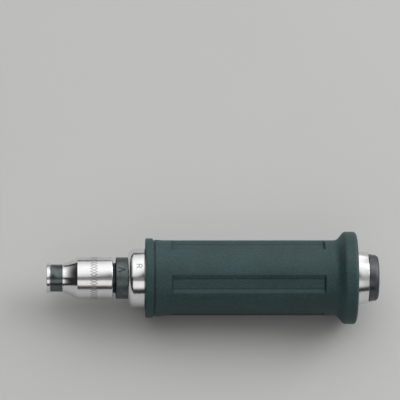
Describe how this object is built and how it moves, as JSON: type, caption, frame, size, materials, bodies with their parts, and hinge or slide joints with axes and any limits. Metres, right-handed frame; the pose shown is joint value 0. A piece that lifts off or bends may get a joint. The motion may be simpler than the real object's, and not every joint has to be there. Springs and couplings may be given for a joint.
{
  "type": "hand impact driver",
  "caption": "Striking driver with a rubber grip, a flared hand stop, a spring-loaded cam spindle with a square drive, and a hexagon bit holder.",
  "frame": {"origin": "centre of the flat striking face", "axes": "+X along the tool's axis, out of the striking face; the bit socket faces -X; +Z through the smooth band of the grip that carries the direction marks"},
  "size_m": [0.184, 0.0514, 0.0514],
  "materials": {
    "holder_chrome": "satin chrome over turned steel",
    "collar_chrome": "bright satin chrome",
    "casing_chrome": "bright satin chrome",
    "black_oxide": "black oxide, oiled",
    "spring_steel": "tempered spring steel",
    "hardened_steel": "hardened and ground",
    "head_steel": "unplated steel, worn by blows",
    "washer_bronze": "turned bronze",
    "grip_rubber": "matte moulded grey-green rubber",
    "seal_rubber": "black nitrile"
  },
  "bodies": {
    "handle": {"casing": "casing_chrome", "grip_sleeve": "grip_rubber", "striking_head": "head_steel", "head_pin": "hardened_steel", "head_seal": "seal_rubber", "front_collar": "collar_chrome", "dust_seal": "seal_rubber", "cam_sleeve": "hardened_steel", "cam_key_1": "hardened_steel", "cam_key_2": "hardened_steel"},
    "spring_pack": {"return_spring": "spring_steel", "rear_spring_seat": "hardened_steel"},
    "spring_seat": {"front_spring_seat": "hardened_steel"},
    "drive": {"spindle": "black_oxide", "cross_pin": "hardened_steel", "drive_ring": "spring_steel", "thrust_washer": "washer_bronze"},
    "holder": {"bit_holder": "holder_chrome", "bit_clip": "spring_steel"},
    "ball": {"bit_ball": "hardened_steel"}
  },
  "joints": [
    {"name": "direction_select", "type": "hinge", "parent": "handle", "child": "spring_pack", "pos_m": [-0.028, 0, 0], "axis": [-1, 0, 0], "range_deg": [0, 53]},
    {"name": "impact_stroke", "type": "slide", "parent": "spring_pack", "child": "spring_seat", "axis": [1, 0, 0], "range_m": [0, 0.007], "stiffness_N_per_m": 5000, "springref_m": -0.001, "deforming": ["return_spring"]},
    {"name": "cam_turn", "type": "hinge", "parent": "spring_seat", "child": "drive", "pos_m": [-0.08, 0, 0], "axis": [-1, 0, 0], "range_deg": [0, 20.5]},
    {"name": "holder_pull", "type": "slide", "parent": "drive", "child": "holder", "axis": [-1, 0, 0], "range_m": [0, 0.0165], "deforming": ["drive_ring"]},
    {"name": "bit_ball_lift", "type": "slide", "parent": "holder", "child": "ball", "axis": [0, 0, 1], "range_m": [0, 0.0005], "stiffness_N_per_m": 400, "springref_m": -0.0002, "deforming": ["bit_clip"]}
  ],
  "couplings": [
    {"joint": "cam_turn", "follows": "impact_stroke", "rad_per_m": 49.866}
  ]
}
